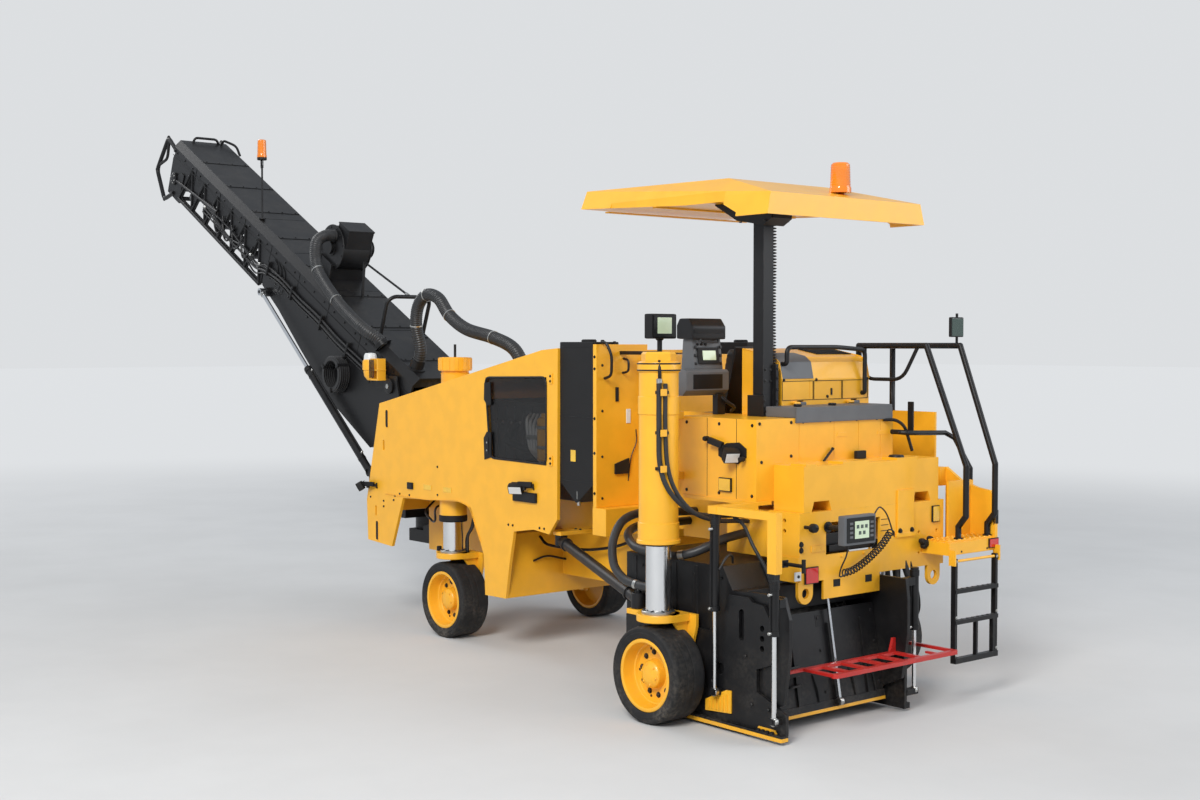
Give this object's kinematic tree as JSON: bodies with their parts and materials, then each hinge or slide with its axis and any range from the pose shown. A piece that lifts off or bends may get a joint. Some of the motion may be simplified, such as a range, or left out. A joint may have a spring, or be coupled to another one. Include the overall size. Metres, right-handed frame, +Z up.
{
  "type": "cold planer milling machine",
  "caption": "Compact four-wheel cold planer with a rear milling drum, an operator's canopy and a slewing discharge conveyor.",
  "frame": {"origin": "bottom centre of the bounding box, on the road", "axes": "+X forward, towards the conveyor's tip; +Y to the machine's left; +Z up"},
  "size_m": [11.7975, 2.64, 5.1232],
  "materials": {
    "yellow_paint": "satin",
    "black_paint": "satin",
    "grey_paint": "satin",
    "tyre_rubber": "matte",
    "chrome_rod": "polished",
    "red_paint": "satin",
    "amber_lens": "gloss",
    "black_plastic": "matte",
    "window_mesh": "gloss",
    "worn_steel": "worn",
    "belt_rubber": "matte",
    "seat_vinyl": "satin",
    "lamp_glass": "gloss",
    "hose_rubber": "matte",
    "cast_engine": "rough"
  },
  "bodies": {
    "chassis": {"front_frame": "yellow_paint", "front_panels": "yellow_paint", "front_cover": "yellow_paint", "windows": "window_mesh", "engine_block": "cast_engine", "side_tanks": "black_paint", "mid_body": "yellow_paint", "platform": "black_paint", "rear_body": "yellow_paint", "rear_bumper": "yellow_paint", "bumper_tray": "yellow_paint", "tool_beam": "yellow_paint", "console": "grey_paint", "seat": "seat_vinyl", "mast": "black_paint", "canopy": "yellow_paint", "handrails": "black_paint", "step_box": "yellow_paint", "fittings": "black_plastic", "beacons": "amber_lens", "drum_box": "black_paint", "cylinder_barrels": "black_paint", "slew_base": "black_paint", "rear_right_leg": "yellow_paint", "rear_guard": "red_paint", "swing_leg": "yellow_paint", "leg_strut": "black_paint", "lamps": "lamp_glass", "leg_hose": "hose_rubber", "hood_duct": "hose_rubber"},
    "hood": {"engine_hood": "yellow_paint"},
    "ladder": {"ladder": "black_paint"},
    "drum": {"milling_drum": "worn_steel"},
    "wheel_fl": {"tyre_fl": "tyre_rubber", "rim_fl": "yellow_paint"},
    "wheel_fr": {"tyre_fr": "tyre_rubber", "rim_fr": "yellow_paint"},
    "wheel_rl": {"tyre_rl": "tyre_rubber", "rim_rl": "yellow_paint"},
    "wheel_rr": {"tyre_rr": "tyre_rubber", "rim_rr": "yellow_paint"},
    "steer_left": {"leg_fl": "yellow_paint"},
    "steer_right": {"leg_fr": "yellow_paint"},
    "slew": {"slew_frame": "black_paint"},
    "conveyor": {"boom": "black_paint", "boom_lattice": "black_paint", "belt": "belt_rubber", "blower": "black_paint", "boom_duct": "black_paint", "boom_beacon": "amber_lens"},
    "lift_barrels": {"lift_barrels": "black_paint"},
    "lift_rods": {"lift_rods": "chrome_rod"},
    "rear_door": {"rear_door": "black_paint"},
    "left_plate": {"left_side_plate": "black_paint"},
    "right_plate": {"right_side_plate": "black_paint"}
  },
  "joints": [
    {"name": "steer_fl", "type": "hinge", "parent": "chassis", "child": "steer_left", "pos_m": [-1.334, 0.508, 0.7], "axis": [0, 0, 1], "range_deg": [-35, 35]},
    {"name": "steer_fr", "type": "hinge", "parent": "chassis", "child": "steer_right", "pos_m": [-1.334, -1.138, 0.7], "axis": [0, 0, 1], "range_deg": [-35, 35]},
    {"name": "wheel_fl_spin", "type": "hinge", "parent": "steer_left", "child": "wheel_fl", "pos_m": [-1.334, 0.495, 0.33], "axis": [0, 1, 0], "continuous": true},
    {"name": "wheel_fr_spin", "type": "hinge", "parent": "steer_right", "child": "wheel_fr", "pos_m": [-1.334, -1.125, 0.33], "axis": [0, 1, 0], "continuous": true},
    {"name": "wheel_rl_spin", "type": "hinge", "parent": "chassis", "child": "wheel_rl", "pos_m": [-4.774, 1.175, 0.33], "axis": [0, 1, 0], "continuous": true},
    {"name": "wheel_rr_spin", "type": "hinge", "parent": "chassis", "child": "wheel_rr", "pos_m": [-4.774, -1.105, 0.33], "axis": [0, 1, 0], "continuous": true},
    {"name": "drum_spin", "type": "hinge", "parent": "chassis", "child": "drum", "pos_m": [-4.854, -0.315, 0.54], "axis": [0, 1, 0], "continuous": true},
    {"name": "hood_open", "type": "hinge", "parent": "chassis", "child": "hood", "pos_m": [-4.919, -0.315, 2.137], "axis": [0, -1, 0], "range_deg": [0, 75]},
    {"name": "ladder_fold", "type": "hinge", "parent": "chassis", "child": "ladder", "pos_m": [-5.749, -0.315, 1.02], "axis": [0, 1, 0], "range_deg": [0, 100]},
    {"name": "conveyor_slew", "type": "hinge", "parent": "chassis", "child": "slew", "pos_m": [0.176, -0.315, 0.82], "axis": [0, 0, 1], "range_deg": [-48, 48], "deforming": ["hood_duct"]},
    {"name": "conveyor_lift", "type": "hinge", "parent": "slew", "child": "conveyor", "pos_m": [0.376, -0.315, 2.15], "axis": [0, -1, 0], "range_deg": [-16, 8]},
    {"name": "lift_barrel_turn", "type": "hinge", "parent": "slew", "child": "lift_barrels", "pos_m": [0.676, -0.315, 1.3], "axis": [0, -1, 0], "range_deg": [-20, 20]},
    {"name": "lift_rod_slide", "type": "slide", "parent": "lift_barrels", "child": "lift_rods", "axis": [0.7756, 0, 0.6312], "range_m": [-0.9, 0.6]},
    {"name": "rear_door_lift", "type": "slide", "parent": "chassis", "child": "rear_door", "axis": [0.1736, 0, 0.9848], "range_m": [0, 0.2]},
    {"name": "left_plate_lift", "type": "slide", "parent": "chassis", "child": "left_plate", "axis": [0, 0, 1], "range_m": [0, 0.15]},
    {"name": "right_plate_lift", "type": "slide", "parent": "chassis", "child": "right_plate", "axis": [0, 0, 1], "range_m": [0, 0.15]}
  ],
  "couplings": [
    {"joint": "steer_fr", "follows": "steer_fl", "ratio": 1},
    {"joint": "lift_barrel_turn", "follows": "conveyor_lift", "ratio": 0.91811},
    {"joint": "lift_rod_slide", "follows": "conveyor_lift", "m_per_rad": 0.86775}
  ]
}
